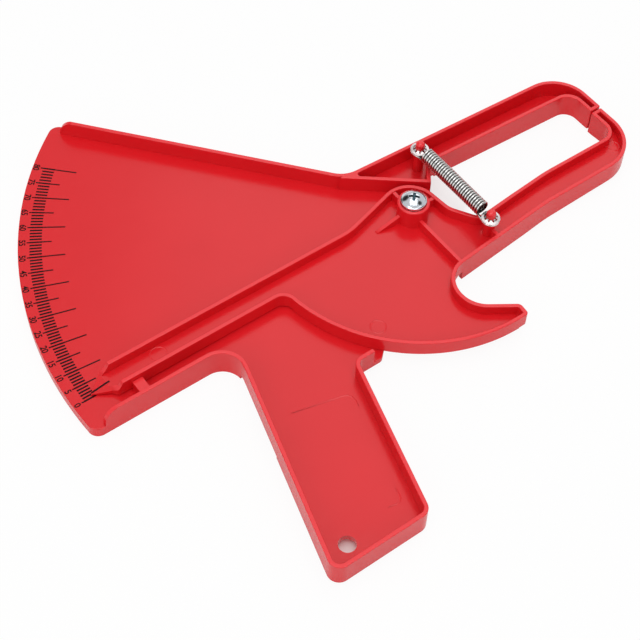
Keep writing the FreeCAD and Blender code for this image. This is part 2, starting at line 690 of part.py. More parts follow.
def lever_parts():
    lever = lever_moulding()
    right_x = boss_radius + split_gap[0]
    split_y = -boss_radius - split_gap[1]
    split_x = rib_x - rib_wall / 2
    hook_top = hook_corner[1] + hook_part_reach
    trigger_zone = zone([(-beyond, split_y), (split_x, split_y), (split_x, hook_top), (beyond, hook_top),
                         (beyond, -beyond), (-beyond, -beyond)])
    jaw_zone = zone([(right_x, beyond), (right_x, split_y), (split_x, split_y),
                     (split_x, hook_top), (beyond, hook_top), (beyond, beyond)])
    arm = lever.cut(trigger_zone).cut(jaw_zone)
    return {"pointer_arm": arm, "trigger": lever.common(trigger_zone), "moving_jaw": lever.common(jaw_zone)}


nodes = {}
nodes.update(frame_parts())
nodes.update(lever_parts())
nodes["pivot_screw"] = pivot_screw()
nodes["spring_coil"] = spring_coil()
nodes["spring_hook_fixed"] = spring_hook(0, 1)
nodes["spring_hook_moving"] = spring_hook(peg_line.Length, -1)
nodes["peg_washer_fixed"] = peg_washer(frame_peg)
nodes["peg_washer_moving"] = peg_washer(lever_peg)

os.makedirs("parts", exist_ok=True)
for name, shape in nodes.items():
    if len(shape.Solids) == 1:
        shape = shape.Solids[0]
    shape.exportStep("parts/" + name + ".step")
    box = shape.BoundBox
    print(name, shape.isValid(), len(shape.Solids), round(shape.Volume),
          [round(v, 1) for v in (box.XMin, box.YMin, box.ZMin, box.XMax, box.YMax, box.ZMax)])
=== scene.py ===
import math

import bpy
from mathutils import Matrix, Vector


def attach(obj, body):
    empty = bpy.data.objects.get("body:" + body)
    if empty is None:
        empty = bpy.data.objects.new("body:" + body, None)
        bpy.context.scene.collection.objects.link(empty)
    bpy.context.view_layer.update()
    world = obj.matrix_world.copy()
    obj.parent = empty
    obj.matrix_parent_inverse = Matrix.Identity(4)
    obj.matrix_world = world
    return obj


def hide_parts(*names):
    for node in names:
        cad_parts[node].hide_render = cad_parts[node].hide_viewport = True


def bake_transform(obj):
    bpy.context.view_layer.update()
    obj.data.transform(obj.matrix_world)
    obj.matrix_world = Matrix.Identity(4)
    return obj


mm = 0.001

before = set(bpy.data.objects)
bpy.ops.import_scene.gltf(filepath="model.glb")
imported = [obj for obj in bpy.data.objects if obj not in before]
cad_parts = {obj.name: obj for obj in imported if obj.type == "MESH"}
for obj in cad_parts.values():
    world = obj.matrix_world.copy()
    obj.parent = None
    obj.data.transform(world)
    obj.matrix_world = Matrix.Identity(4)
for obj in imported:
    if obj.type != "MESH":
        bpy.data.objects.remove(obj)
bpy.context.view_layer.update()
print("frame loaded:", len(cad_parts), "nodes")


# helpers

def srgb(code):  # a hex colour as the linear values that shaders take
    values = [int(code[i:i + 2], 16) / 255 for i in (1, 3, 5)]
    linear = [v / 12.92 if v <= 0.04045 else ((v + 0.055) / 1.055) ** 2.4 for v in values]
    return (*linear, 1.0)


def newMaterial(name):
    mat = bpy.data.materials.new(name)
    mat.use_nodes = True
    mat.node_tree.nodes.clear()
    return mat


def addNode(tree, kind, inputs=None, **settings):
    node = tree.nodes.new(kind)
    for key, value in settings.items():
        setattr(node, key, value)
    for key, value in (inputs or {}).items():
        if isinstance(value, bpy.types.NodeSocket):
            tree.links.new(value, node.inputs[key])
        else:
            node.inputs[key].default_value = value
    return node


def newGroup(name, wanted):  # a geometry tree with these inputs, and the identifier of each
    tree = bpy.data.node_groups.new(name, "GeometryNodeTree")
    sockets = {}
    for label, kind, value in wanted:
        item = tree.interface.new_socket(label, in_out="INPUT", socket_type=kind)
        item.default_value = value
        sockets[label] = item.identifier
    tree.interface.new_socket("Geometry", in_out="OUTPUT", socket_type="NodeSocketGeometry")
    return tree, sockets


def groupHolder(name, tree, sockets, values, material):  # one point that carries the tree as its modifier
    holder = linkMesh(name + "Base", [(0, 0, 0)], [], material)
    modifier = holder.modifiers.new("group", "NODES")
    modifier.node_group = tree
    for label, value in values.items():
        modifier[sockets[label]] = value
    return holder


def linkMesh(name, verts, faces, material, smooth=False):
    mesh = bpy.data.meshes.new(name)
    mesh.from_pydata(verts, [], faces)
    mesh.validate()
    mesh.polygons.foreach_set("use_smooth", [smooth] * len(mesh.polygons))
    mesh.materials.append(material)
    obj = bpy.data.objects.new(name, mesh)
    bpy.context.scene.collection.objects.link(obj)
    return obj


def plainMesh(obj, name):  # bakes curves, text and node groups into a mesh of its own
    graph = bpy.context.evaluated_depsgraph_get()
    mesh = bpy.data.meshes.new_from_object(
        obj.evaluated_get(graph), preserve_all_data_layers=True, depsgraph=graph)
    mesh.transform(obj.matrix_world)
    mesh.name = name
    bpy.data.objects.remove(obj)
    baked = bpy.data.objects.new(name, mesh)
    bpy.context.scene.collection.objects.link(baked)
    return baked


# materials, with their pattern sizes and depths in mm

noiseLow, noiseHigh = 0.3, 0.7   # nearly all of a noise's values lie between these

# injection-moulded polystyrene: a hard gloss with a fine grain on a deep, faintly clouded red
redPlastic = {
    "colour": "#e21b24", "deep": "#da161f",
    "cloudSize": 34.0, "flowSize": 2.2,
    "grain": 0.55, "grainDepth": 0.004, "grainStrength": 0.6,
    "roughness": (0.19, 0.27), "ior": 1.5,
    "paintedHighlight": "#ed3037",           # painted highlight: tops of rims, ribs and pegs drawn paler, standing for the sheen on their rounded edges
    "paintedHighlightFrom": (0.5, 1.2),      # mm above the moulding's floor where that starts and is full
    "paintedHighlightFacing": (0.25, 0.75),  # and the same for how far a face looks up
}


def plasticMaterial(name, p, floorTop):
    mat = newMaterial(name)
    tree = mat.node_tree
    coords = addNode(tree, "ShaderNodeTexCoord").outputs["Object"]
    cloud = addNode(tree, "ShaderNodeTexNoise", {
        "Vector": coords, "Scale": 1 / (p["cloudSize"] * mm), "Detail": 2.0})
    tint = addNode(tree, "ShaderNodeMix", {
        "Factor": cloud.outputs["Fac"], "A": srgb(p["deep"]), "B": srgb(p["colour"])}, data_type="RGBA")
    flow = addNode(tree, "ShaderNodeTexNoise", {
        "Vector": coords, "Scale": 1 / (p["flowSize"] * mm), "Detail": 3.0})
    rough = addNode(tree, "ShaderNodeMapRange", {
        "Value": flow.outputs["Fac"], "From Min": noiseLow, "From Max": noiseHigh,
        "To Min": p["roughness"][0], "To Max": p["roughness"][1]})
    grain = addNode(tree, "ShaderNodeTexNoise", {
        "Vector": coords, "Scale": 1 / (p["grain"] * mm), "Detail": 2.0})
    bump = addNode(tree, "ShaderNodeBump", {
        "Height": grain.outputs["Fac"], "Distance": p["grainDepth"] * mm, "Strength": p["grainStrength"]})

    # painted highlight: faces that look up and stand above the floor shift to the paler red
    start, full = p["paintedHighlightFrom"]
    height = addNode(tree, "ShaderNodeSeparateXYZ", {0: coords}).outputs["Z"]
    above = addNode(tree, "ShaderNodeMapRange", {
        "Value": height, "From Min": (floorTop + start) * mm, "From Max": (floorTop + full) * mm})
    start, full = p["paintedHighlightFacing"]
    facing = addNode(tree, "ShaderNodeNewGeometry").outputs["Normal"]
    level = addNode(tree, "ShaderNodeSeparateXYZ", {0: facing}).outputs["Z"]
    upward = addNode(tree, "ShaderNodeMapRange", {"Value": level, "From Min": start, "From Max": full})
    paintedHighlightShare = addNode(tree, "ShaderNodeMath", {
        0: above.outputs["Result"], 1: upward.outputs["Result"]}, operation="MULTIPLY")
    colour = addNode(tree, "ShaderNodeMix", {
        "Factor": paintedHighlightShare.outputs[0], "A": tint.outputs["Result"], "B": srgb(p["paintedHighlight"])}, data_type="RGBA")

    shader = addNode(tree, "ShaderNodeBsdfPrincipled", {
        "Base Color": colour.outputs["Result"], "Roughness": rough.outputs["Result"],
        "Normal": bump.outputs["Normal"], "IOR": p["ior"]})
    addNode(tree, "ShaderNodeOutputMaterial", {"Surface": shader.outputs["BSDF"]})
    return mat


# bright zinc plate on a pressed steel head: a pale, slightly blue mirror
zincScrew = {
    "dark": "#dde6ef", "light": "#f6faff", "roughness": (0.10, 0.2),
    "streak": 0.5, "bump": 0.006, "strength": 0.5,
}
# the same plate in the pressed recess, rougher, with painted shade: a dark blue-grey
shadedRecessZinc = {
    "dark": "#3f5560", "light": "#6d8792", "roughness": (0.3, 0.45),
    "streak": 0.5, "bump": 0.006, "strength": 0.5,
}
# drawn spring wire: a clean bright line along each turn, with painted shade between the turns
springSteel = {
    "dark": "#d2d1cf", "light": "#efeeec", "paintedGapShade": "#3d3a38", "roughness": (0.14, 0.24),
    "streak": 0.25, "bump": 0.004, "strength": 0.5,
}
# stamped and tumbled spring steel: a soft, warm grey shine
washerSteel = {
    "dark": "#d8d0d0", "light": "#f4eeee", "roughness": (0.18, 0.3),
    "streak": 0.4, "bump": 0.006, "strength": 0.5,
}


def metalMaterial(name, p):
    mat = newMaterial(name)
    tree = mat.node_tree
    coords = addNode(tree, "ShaderNodeTexCoord").outputs["Object"]
    streak = addNode(tree, "ShaderNodeTexNoise", {
        "Vector": coords, "Scale": 1 / (p["streak"] * mm), "Detail": 3.0})
    tint = addNode(tree, "ShaderNodeMix", {
        "Factor": streak.outputs["Fac"], "A": srgb(p["dark"]), "B": srgb(p["light"])}, data_type="RGBA")
    if "paintedGapShade" in p:  # painted shade: the wire's own attribute is 0 deep between the turns, where the dark colour goes in, and 1 outside
        outsidePaintedShade = addNode(tree, "ShaderNodeAttribute", attribute_name="outsidePaintedShade")
        tint = addNode(tree, "ShaderNodeMix", {
            "Factor": outsidePaintedShade.outputs["Fac"], "A": srgb(p["paintedGapShade"]), "B": tint.outputs["Result"]},
            data_type="RGBA")
    rough = addNode(tree, "ShaderNodeMapRange", {
        "Value": streak.outputs["Fac"], "From Min": noiseLow, "From Max": noiseHigh,
        "To Min": p["roughness"][0], "To Max": p["roughness"][1]})
    bump = addNode(tree, "ShaderNodeBump", {
        "Height": streak.outputs["Fac"], "Distance": p["bump"] * mm, "Strength": p["strength"]})
    shader = addNode(tree, "ShaderNodeBsdfPrincipled", {
        "Base Color": tint.outputs["Result"], "Roughness": rough.outputs["Result"],
        "Normal": bump.outputs["Normal"], "Metallic": 1.0})
    addNode(tree, "ShaderNodeOutputMaterial", {"Surface": shader.outputs["BSDF"]})
    return mat


# pad-printed ink: thin, nearly black, with little shine and a warm tone where it is worn
scaleInk = {"colour": "#1b0508", "worn": "#2e090c", "patch": 0.35, "roughness": 0.5, "shine": 0.15}


def inkMaterial(name, p):
    mat = newMaterial(name)
    tree = mat.node_tree
    coords = addNode(tree, "ShaderNodeTexCoord").outputs["Object"]
    patch = addNode(tree, "ShaderNodeTexNoise", {
        "Vector": coords, "Scale": 1 / (p["patch"] * mm), "Detail": 2.0})
    tint = addNode(tree, "ShaderNodeMix", {
        "Factor": patch.outputs["Fac"], "A": srgb(p["colour"]), "B": srgb(p["worn"])}, data_type="RGBA")
    shader = addNode(tree, "ShaderNodeBsdfPrincipled", {
        "Base Color": tint.outputs["Result"], "Roughness": p["roughness"], "Specular IOR Level": p["shine"]})
    addNode(tree, "ShaderNodeOutputMaterial", {"Surface": shader.outputs["BSDF"]})
    return mat


plateTop, leverTop = 5.0, 7.4   # mm, the floors of the two mouldings

frameRed = plasticMaterial("frameRedPolystyrene", redPlastic, plateTop)
leverRed = plasticMaterial("leverRedPolystyrene", redPlastic, leverTop)
screwZinc = metalMaterial("zincPlatedScrew", zincScrew)
shadedRecessMetal = metalMaterial("screwRecessPaintedShade", shadedRecessZinc)
wireSteel = metalMaterial("springWire", springSteel)
starSteel = metalMaterial("pushOnWasherSteel", washerSteel)
ink = inkMaterial("padPrintedInk", scaleInk)

finishes = {
    "scale_plate": frameRed, "handle": frameRed, "fixed_jaw": frameRed,
    "pointer_arm": leverRed, "trigger": leverRed, "moving_jaw": leverRed,
    "pivot_screw": screwZinc,
    "spring_coil": wireSteel, "spring_hook_fixed": wireSteel, "spring_hook_moving": wireSteel,
    "peg_washer_fixed": starSteel, "peg_washer_moving": starSteel,
}
for nodeName, material in finishes.items():
    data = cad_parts[nodeName].data
    data.materials.clear()
    data.materials.append(material)
print("materials on the nodes")


# scale print

scalePrint = {
    "lift": 0.03,              # mm above the plate
    "last": 80,
    "linear": 0.52129,         # degrees of pointer turn per mark
    "square": 0.00056620,      # and per mark squared
    "marks": {                 # one in so many, then outer end, inner end, width and further lift in mm
        "scaleOnes": (1, 161.8, 156.7, 0.8, 0.0),
        "scaleFives": (5, 163.0, 152.6, 0.6, 0.008),
        "scaleTens": (10, 163.0, 147.1, 0.6, 0.016),
    },
    "numberEvery": 5,
    "numberBase": 166.15,      # mm, radius of the numbers' baseline
    "numberHeight": 2.75,      # mm
    "numberWidth": 0.92,       # share of the type's own width
    "numberBold": 0.08,        # mm added all round
    "numberSpacing": 0.95,
    "digitShare": 0.72,        # a digit's height as a share of the type's size
}


def markNodes(material):
    tree, sockets = newGroup("scaleMarks", (
        ("Count", "NodeSocketInt", 81), ("Step", "NodeSocketFloat", 1.0),
        ("Linear", "NodeSocketFloat", 0.5), ("Square", "NodeSocketFloat", 0.0),
        ("Outer", "NodeSocketFloat", 0.16), ("Inner", "NodeSocketFloat", 0.15),
        ("Width", "NodeSocketFloat", 0.0005), ("Top", "NodeSocketFloat", 0.005)))
    given = addNode(tree, "NodeGroupInput").outputs

    def calc(operation, a, b=0.0):
        return addNode(tree, "ShaderNodeMath", {0: a, 1: b}, operation=operation).outputs[0]

    mark = calc("MULTIPLY", addNode(tree, "GeometryNodeInputIndex").outputs[0], given["Step"])
    bend = calc("MULTIPLY", calc("MULTIPLY", mark, mark), given["Square"])
    turn = calc("ADD", calc("MULTIPLY", mark, given["Linear"]), bend)
    angle = calc("RADIANS", calc("SUBTRACT", 180.0, turn))
    middle = calc("MULTIPLY", calc("ADD", given["Outer"], given["Inner"]), 0.5)
    spot = addNode(tree, "ShaderNodeCombineXYZ", {
        "X": calc("MULTIPLY", middle, calc("COSINE", angle)),
        "Y": calc("MULTIPLY", middle, calc("SINE", angle)), "Z": given["Top"]})
    points = addNode(tree, "GeometryNodePoints", {"Count": given["Count"], "Position": spot.outputs[0]})
    dash = addNode(tree, "GeometryNodeMeshGrid", {
        "Size X": calc("SUBTRACT", given["Outer"], given["Inner"]), "Size Y": given["Width"],
        "Vertices X": 2, "Vertices Y": 2})
    spin = addNode(tree, "ShaderNodeCombineXYZ", {"Z": angle})
    placed = addNode(tree, "GeometryNodeInstanceOnPoints", {
        "Points": points.outputs[0], "Instance": dash.outputs[0], "Rotation": spin.outputs[0]})
    real = addNode(tree, "GeometryNodeRealizeInstances", {0: placed.outputs[0]})
    painted = addNode(tree, "GeometryNodeSetMaterial", {"Geometry": real.outputs[0], "Material": material})
    addNode(tree, "NodeGroupOutput", {"Geometry": painted.outputs[0]})
    return tree, sockets


def scaleMarks(name, tree, sockets, p):
    step, outer, inner, width, lift = p["marks"][name]
    holder = groupHolder(name, tree, sockets, {
        "Count": p["last"] // step + 1, "Step": float(step), "Linear": p["linear"], "Square": p["square"],
        "Outer": outer * mm, "Inner": inner * mm, "Width": width * mm,
        "Top": (plateTop + p["lift"] + lift) * mm}, ink)
    marks = plainMesh(holder, name)
    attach(marks, "frame")


def scaleNumbers(p):
    verts, faces = [], []
    squeeze = Matrix.Diagonal((p["numberWidth"], 1, 1, 1))
    for value in range(0, p["last"] + 1, p["numberEvery"]):
        turn = p["linear"] * value + p["square"] * value * value
        angle = math.radians(180 - turn)
        curve = bpy.data.curves.new("number", "FONT")
        curve.body = str(value)
        curve.align_x = "CENTER"
        curve.size = p["numberHeight"] * mm / p["digitShare"]
        curve.space_character = p["numberSpacing"]
        curve.offset = p["numberBold"] * mm
        curve.resolution_u = 4
        text = bpy.data.objects.new("number", curve)
        bpy.context.scene.collection.objects.link(text)
        spot = Vector((math.cos(angle), math.sin(angle), 0)) * p["numberBase"] * mm
        place = Matrix.Translation(spot + Vector((0, 0, (plateTop + p["lift"]) * mm)))
        text.matrix_world = place @ Matrix.Rotation(angle + math.pi / 2, 4, "Z") @ squeeze
        bpy.context.view_layer.update()
        part = plainMesh(text, "number")
        start = len(verts)
        verts += [tuple(v.co) for v in part.data.vertices]
        faces += [tuple(start + i for i in f.vertices) for f in part.data.polygons]
        bpy.data.objects.remove(part)
    numbers = linkMesh("scaleNumbers", verts, faces, ink)
    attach(numbers, "frame")


markTree, markSockets = markNodes(ink)
for rowName in scalePrint["marks"]:
    scaleMarks(rowName, markTree, markSockets, scalePrint)
scaleNumbers(scalePrint)
print("scale printed")


# index line on the pointer's tongue

indexLine = {
    "from": (-158.2, 1.15), "to": (-149.5, 1.1), "width": 0.8, "lift": 0.05,
    "point": 0.9, "pointShare": 0.35,                       # its outer end narrows to this share
    "tongueStart": -150.9, "tip": -158.4, "tipTop": 6.0,    # the tongue falls from the lever's floor
}


def tongueHeight(x, p):
    slope = (leverTop - p["tipTop"]) / (p["tongueStart"] - p["tip"])
    return min(leverTop, leverTop - (p["tongueStart"] - x) * slope) + p["lift"]


def pointerIndex(p):
    (x0, y0), (x1, y1) = p["from"], p["to"]
    xs = [x0, x0 + p["point"], p["tongueStart"], x1]
    verts = []
    for x in xs:
        y = y0 + (y1 - y0) * (x - x0) / (x1 - x0)
        half = p["width"] / 2 * (p["pointShare"] if x == x0 else 1)
        verts += [(x * mm, (y + side) * mm, tongueHeight(x, p) * mm) for side in (-half, half)]
    faces = [(2 * i, 2 * i + 2, 2 * i + 3, 2 * i + 1) for i in range(len(xs) - 1)]
    line = linkMesh("pointerIndexLine", verts, faces, ink)
    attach(line, "lever")


pointerIndex(indexLine)


# spring: one wire from hook to hook

spring = {
    "framePeg": (20.5, 21.7), "leverPeg": (20.6, -25.9),
    "wire": 1.2, "outer": 3.5, "turns": 28, "length": 38.9,
    "fromPeg": 3.35, "aside": 0.35,   # the coil's start, and its axis beside the line of the pegs
    "coilZ": 17.2, "loopZ": 16.4, "loopInner": 2.85, "loopTurn": 320,
    "stepsPerTurn": 28, "loopSteps": 40,
    "paintedShadeDepth": (0.42, 0.12),            # mm under the coil's outside where the painted shade is full and where it ends
}


def springPath(p):  # along +X from the frame's peg
    mean = p["outer"] - p["wire"] / 2
    drop = p["loopZ"] - p["coilZ"]
    side = -math.sqrt(mean ** 2 - drop ** 2)
    span = math.dist(p["framePeg"], p["leverPeg"])
    ring = p["loopInner"] + p["wire"] / 2

    def hook(reach):  # loop round a peg at the origin, then out to the coil
        startX, startY = reach, p["aside"] + side
        touch = math.atan2(startY, startX) - math.acos(ring / math.hypot(startX, startY))
        sweep, steps = math.radians(p["loopTurn"]), p["loopSteps"]
        arc = [touch - sweep * (1 - i / steps) for i in range(steps + 1)]
        return [(ring * math.cos(a), ring * math.sin(a), p["loopZ"]) for a in arc]

    start = p["fromPeg"] + p["wire"] / 2
    end = p["fromPeg"] + p["length"] - p["wire"] / 2
    phase = math.atan2(drop, side)
    count = p["turns"] * p["stepsPerTurn"]
    coil = []
    for i in range(count + 1):
        a = phase + 2 * math.pi * p["turns"] * i / count
        y, z = p["aside"] + mean * math.cos(a), p["coilZ"] + mean * math.sin(a)
        coil.append((start + (end - start) * i / count, y, z))
    farHook = [(span - x, y, z) for x, y, z in reversed(hook(span - end))]
    return hook(start) + coil + farHook


def springWire(p):
    (frameX, frameY), (leverX, leverY) = p["framePeg"], p["leverPeg"]
    points = springPath(p)
    curve = bpy.data.curves.new("springLine", "CURVE")
    curve.dimensions = "3D"
    line = curve.splines.new("POLY")
    line.points.add(len(points) - 1)
    for target, point in zip(line.points, points):
        target.co = (point[0] * mm, point[1] * mm, point[2] * mm, 1)
    curve.bevel_depth = p["wire"] / 2 * mm
    curve.bevel_resolution = 3
    curve.use_fill_caps = True
    wire = bpy.data.objects.new("springLine", curve)
    bpy.context.scene.collection.objects.link(wire)
    lean = math.atan2(leverY - frameY, leverX - frameX)
    wire.matrix_world = Matrix.Translation((frameX * mm, frameY * mm, 0)) @ Matrix.Rotation(lean, 4, "Z")
    bpy.context.view_layer.update()
    wire = plainMesh(wire, "extensionSpring")
    wire.data.materials.clear()
    wire.data.materials.append(wireSteel)
    wire.data.polygons.foreach_set("use_smooth", [True] * len(wire.data.polygons))

    # painted shade between the turns: 1 at the coil's outside and on the hooks, falling to 0 deeper in
    full, none = p["paintedShadeDepth"]
    outsidePaintedShade = []
    for v in wire.data.vertices:
        away = math.hypot(v.co.x / mm - frameX - p["aside"], v.co.z / mm - p["coilZ"])
        along = frameY - v.co.y / mm - p["fromPeg"]
        unshadedShare = min(1.0, max(0.0, (away - p["outer"] + full) / (full - none)))
        outsidePaintedShade.append(unshadedShare if 0 < along < p["length"] else 1.0)
    wire.data.attributes.new("outsidePaintedShade", "FLOAT", "POINT").data.foreach_set("value", outsidePaintedShade)

    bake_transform(wire)
    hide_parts("spring_coil", "spring_hook_fixed", "spring_hook_moving")


springWire(spring)
print("spring wound")


# pivot screw: domed head with a tapered cross recess, and a threaded shank

screw = {
    "seat": 16.4, "headRadius": 5.55, "edge": 1.4, "crown": 2.5,
    "edgeRound": 0.25, "edgeDrop": 1.4, "edgeRings": 4,   # edgeDrop: how much deeper than wide it is
    "chamfer": 0.15,
    "cross": 4.7, "crossWidth": 1.05, "crossTurn": 46.0, "crossDepth": 2.2,
    "wallRun": 0.16, "endRun": 1.5, "endCurve": 0.6,      # how the recess comes up at its walls and ends
    "paintedShadeFrom": 0.15,                                     # mm of depth where the recess's painted shade starts
    "shank": 1.95, "root": 1.55, "pitch": 1.4, "length": 12.5, "point": 1.2, "tip": 0.3,
    "around": 160, "fineStep": 0.06, "fineReach": 2.7, "coarseRings": 12, "threadStep": 0.14,
}


def crossRecess(x, y, p):  # depth below the dome
    depth = 0.0
    for turn in (p["crossTurn"], p["crossTurn"] + 90):
        a = math.radians(turn)
        along = abs(x * math.cos(a) + y * math.sin(a))
        across = abs(y * math.cos(a) - x * math.sin(a))
        side = min(1, max(0, (p["crossWidth"] / 2 + p["wallRun"] / 2 - across) / p["wallRun"]))
        end = min(1, max(0, (p["cross"] / 2 - along) / p["endRun"]))
        depth = max(depth, p["crossDepth"] * side * end ** p["endCurve"])
    return depth


def screwRings(p):  # radius, height and kind of each ring, from the dome's middle to the point
    seat, head = p["seat"], p["headRadius"]
    ball = (head ** 2 + p["crown"] ** 2) / (2 * p["crown"])
    top = seat + p["edge"] + p["crown"]
    fine = [i * p["fineStep"] for i in range(1, round(p["fineReach"] / p["fineStep"]) + 1)]
    rest = head - p["edgeRound"] - p["fineReach"]
    coarse = [p["fineReach"] + rest * i / p["coarseRings"] for i in range(1, p["coarseRings"] + 1)]
    rings = [(r, top - ball + math.sqrt(ball ** 2 - r ** 2), "dome") for r in fine + coarse]
    r, z, _ = rings[-1]
    for i in range(1, p["edgeRings"] + 1):
        a = math.pi / 2 * i / p["edgeRings"]
        fall = p["edgeRound"] * p["edgeDrop"] * (1 - math.cos(a))
        rings.append((r + p["edgeRound"] * math.sin(a), z - fall, "side"))
    rings += [
        (head, seat + p["chamfer"], "side"), (head - p["chamfer"], seat, "side"), (p["shank"], seat, "side")]
    threaded = p["length"] - p["point"]
    steps = int(threaded / p["threadStep"])
    rings += [(p["shank"], seat - threaded * i / steps, "thread") for i in range(steps + 1)]
    return rings + [(p["tip"], seat - p["length"], "side")]


def pivotScrew(p):
    rings = screwRings(p)
    count = p["around"]
    verts = [(0, 0, (p["seat"] + p["edge"] + p["crown"] - p["crossDepth"]) * mm)]
    for ringRadius, ringHeight, kind in rings:
        for j in range(count):
            a = 2 * math.pi * j / count
            radius, height = ringRadius, ringHeight
            if kind == "dome":
                height -= crossRecess(radius * math.cos(a), radius * math.sin(a), p)
            if kind == "thread":
                phase = abs(2 * ((height / p["pitch"] + j / count) % 1) - 1)
                radius = p["root"] + (p["shank"] - p["root"]) * max(0, 2 * phase - 1)
            verts.append((radius * math.cos(a) * mm, radius * math.sin(a) * mm, height * mm))
    last = len(verts)
    verts.append((0, 0, (p["seat"] - p["length"]) * mm))
    faces = [(0, 1 + j, 1 + (j + 1) % count) for j in range(count)]
    for i in range(len(rings) - 1):
        a, b = 1 + i * count, 1 + (i + 1) * count
        faces += [(a + j, b + j, b + (j + 1) % count, a + (j + 1) % count) for j in range(count)]
    end = last - count
    faces += [(last, end + (j + 1) % count, end + j) for j in range(count)]
    piece = linkMesh("pivotScrew", verts, faces, screwZinc, smooth=True)
    piece.data.materials.append(shadedRecessMetal)
    # painted shade: faces deep in the cross recess take the dark recess material
    for face in piece.data.polygons:
        x, y, z = (v / mm for v in face.center)
        if z > p["seat"] and crossRecess(x, y, p) > p["paintedShadeFrom"]:
            face.material_index = 1
    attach(piece, "frame")
    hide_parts("pivot_screw")


pivotScrew(screw)
print("screw turned")


# push-on washers: a dished ring with teeth bent up against the peg

washer = {
    "outer": 4.05, "root": 3.0, "bore": 2.1, "low": 17.1, "thick": 0.4, "dish": 0.2, "lip": 0.12,
    "around": 90,
    "teeth": 9, "rise": 0.55, "toothRoot": 1.35, "toothTip": 0.85, "toothSteps": 6,
    "overlap": 0.1,                         # mm that a tooth starts inside the ring
    "footDish": 0.8,                        # share of the dish that a tooth has at its foot
    "fixedTurn": 12.0, "movingTurn": 31.0,  # degrees, as each was pressed on
}


def washerRing(p):
    low, thick = p["low"], p["thick"]
    section = [(p["outer"], low), (p["outer"], low + thick - p["lip"]), (p["outer"] - p["lip"], low + thick),
               (p["root"], low + thick + p["dish"]), (p["root"], low + p["dish"])]
    count, k = p["around"], len(section)
    turns = [2 * math.pi * j / count for j in range(count)]
    verts = [(r * math.cos(a) * mm, r * math.sin(a) * mm, z * mm) for a in turns for r, z in section]
    faces = []
    for j in range(count):
        a, b = j * k, (j + 1) % count * k
        faces += [(a + m, b + m, b + (m + 1) % k, a + (m + 1) % k) for m in range(k)]
    return linkMesh("washerRing", verts, faces, starSteel)


def washerTooth(p):  # along +X, from the ring in to the bore
    verts, faces = [], []
    steps = p["toothSteps"]
    for i in range(steps):
        t = i / (steps - 1)
        x = p["root"] + p["overlap"] + (p["bore"] - p["root"] - p["overlap"]) * t
        half = (p["toothRoot"] + (p["toothTip"] - p["toothRoot"]) * t) / 2
        low = p["low"] + p["dish"] * min(1, 2 * t + p["footDish"]) + p["rise"] * t * t
        for y, z in ((-half, low), (half, low), (half, low + p["thick"]), (-half, low + p["thick"])):
            verts.append((x * mm, y * mm, z * mm))
    for i in range(steps - 1):
        a, b = 4 * i, 4 * i + 4
        faces += [(a + m, a + (m + 1) % 4, b + (m + 1) % 4, b + m) for m in range(4)]
    faces += [(3, 2, 1, 0), tuple(4 * steps - 4 + m for m in range(4))]
    return linkMesh("washerTooth", verts, faces, starSteel)


def washerNodes(ring, tooth, material):
    tree, sockets = newGroup("starWasher", (("Teeth", "NodeSocketInt", 9),))
    teeth = addNode(tree, "NodeGroupInput").outputs["Teeth"]
    points = addNode(tree, "GeometryNodePoints", {"Count": teeth})
    index = addNode(tree, "GeometryNodeInputIndex").outputs[0]
    share = addNode(tree, "ShaderNodeMath", {0: index, 1: teeth}, operation="DIVIDE")
    turn = addNode(tree, "ShaderNodeMath", {0: share.outputs[0], 1: 2 * math.pi}, operation="MULTIPLY")
    spin = addNode(tree, "ShaderNodeCombineXYZ", {"Z": turn.outputs[0]})
    toothShape = addNode(tree, "GeometryNodeObjectInfo", {"Object": tooth}).outputs["Geometry"]
    ringShape = addNode(tree, "GeometryNodeObjectInfo", {"Object": ring}).outputs["Geometry"]
    placed = addNode(tree, "GeometryNodeInstanceOnPoints", {
        "Points": points.outputs[0], "Instance": toothShape, "Rotation": spin.outputs[0]})
    whole = addNode(tree, "GeometryNodeJoinGeometry")
    tree.links.new(placed.outputs[0], whole.inputs[0])
    tree.links.new(ringShape, whole.inputs[0])
    real = addNode(tree, "GeometryNodeRealizeInstances", {0: whole.outputs[0]})
    painted = addNode(tree, "GeometryNodeSetMaterial", {"Geometry": real.outputs[0], "Material": material})
    addNode(tree, "NodeGroupOutput", {"Geometry": painted.outputs[0]})
    return tree, sockets


def starWasher(name, tree, sockets, spot, turn, body, node):
    holder = groupHolder(name, tree, sockets, {"Teeth": washer["teeth"]}, starSteel)
    place = Matrix.Translation((spot[0] * mm, spot[1] * mm, 0))
    holder.matrix_world = place @ Matrix.Rotation(math.radians(turn), 4, "Z")
    bpy.context.view_layer.update()
    piece = plainMesh(holder, name)
    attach(piece, body)
    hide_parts(node)


ringMesh, toothMesh = washerRing(washer), washerTooth(washer)
washerTree, washerSockets = washerNodes(ringMesh, toothMesh, starSteel)
starWasher("starWasherFixed", washerTree, washerSockets, spring["framePeg"], washer["fixedTurn"],
           "frame", "peg_washer_fixed")
starWasher("starWasherMoving", washerTree, washerSockets, spring["leverPeg"], washer["movingTurn"],
           "lever", "peg_washer_moving")
for spare in (ringMesh, toothMesh):
    bpy.data.objects.remove(spare)
print("washers pressed")


# moulding marks: faint raised rings left by ejector pins, and the edge of a mould insert in the handle

mouldMarks = {
    "width": 0.7, "height": 0.1, "flat": 0.4, "segments": 40,   # flat: the top's share of the width
    "pins": ((-127.0, 1.0, 3.6), (-47.4, -38.3, 3.2), (98.9, -19.1, 2.9)),   # place and radius, on the lever
    "insertEdges": (   # on the frame
        ((-99.2, -50.5), (-78.2, -55.6), (-76.4, -56.5),
         (-75.5, -58.0), (-75.4, -60.4), (-76.1, -62.9)),
        ((-86.6, -100.4), (-87.2, -102.6), (-87.7, -104.7),
         (-89.0, -105.9), (-90.6, -105.9), (-94.0, -105.1)),
    ),
}


